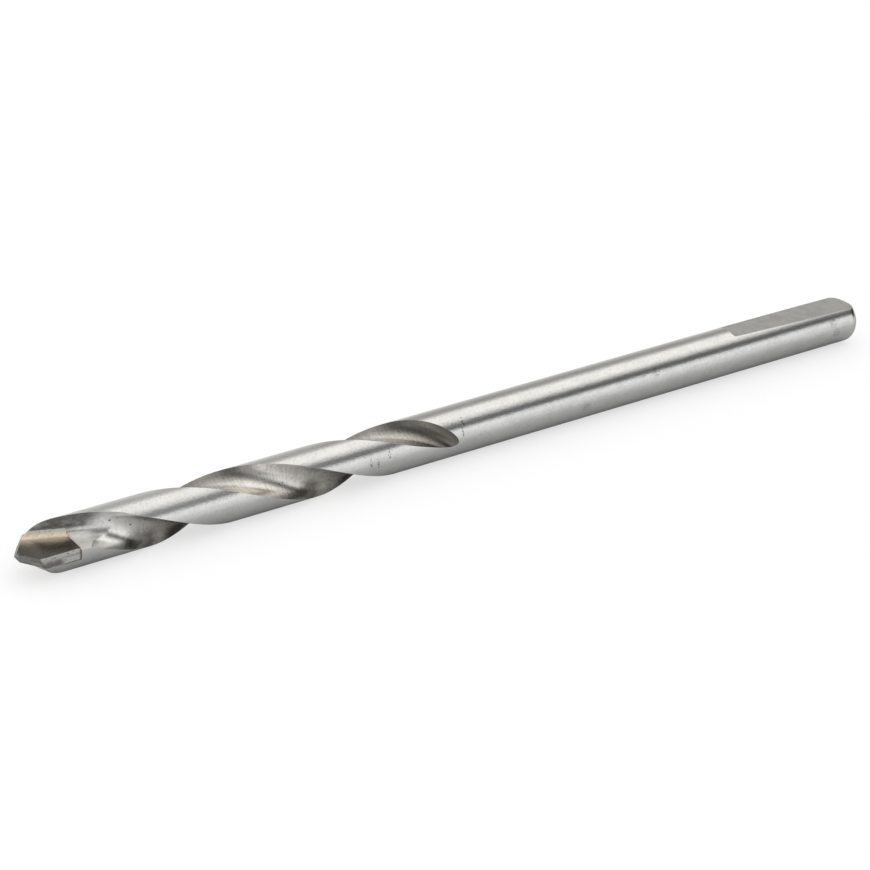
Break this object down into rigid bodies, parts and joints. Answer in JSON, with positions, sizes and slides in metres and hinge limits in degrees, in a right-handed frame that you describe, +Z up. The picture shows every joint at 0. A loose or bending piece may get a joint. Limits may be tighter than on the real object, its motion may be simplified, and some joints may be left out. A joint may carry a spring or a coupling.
{
  "type": "hole saw pilot drill",
  "caption": "Carbide-tipped twist drill that starts and centres a hole saw: round shank with a set-screw flat, short spiral flutes and a brazed tip.",
  "frame": {"origin": "centre of the flat end face of the shank, on the drill's axis", "axes": "+X along the axis from the shank end to the tip, +Z up, the way the set-screw flat faces, +Y to the side"},
  "size_m": [0.1253, 0.0064, 0.0064],
  "materials": {
    "tool_steel": "ground and lightly polished, dull and slightly brown inside the flutes",
    "carbide": "ground sintered carbide, darker and duller than the steel",
    "braze": "pale bronze braze, dull with brown stains"
  },
  "bodies": {
    "root": {"drill_body": "tool_steel", "carbide_tip": "carbide", "braze_joint": "braze"}
  },
  "joints": []
}
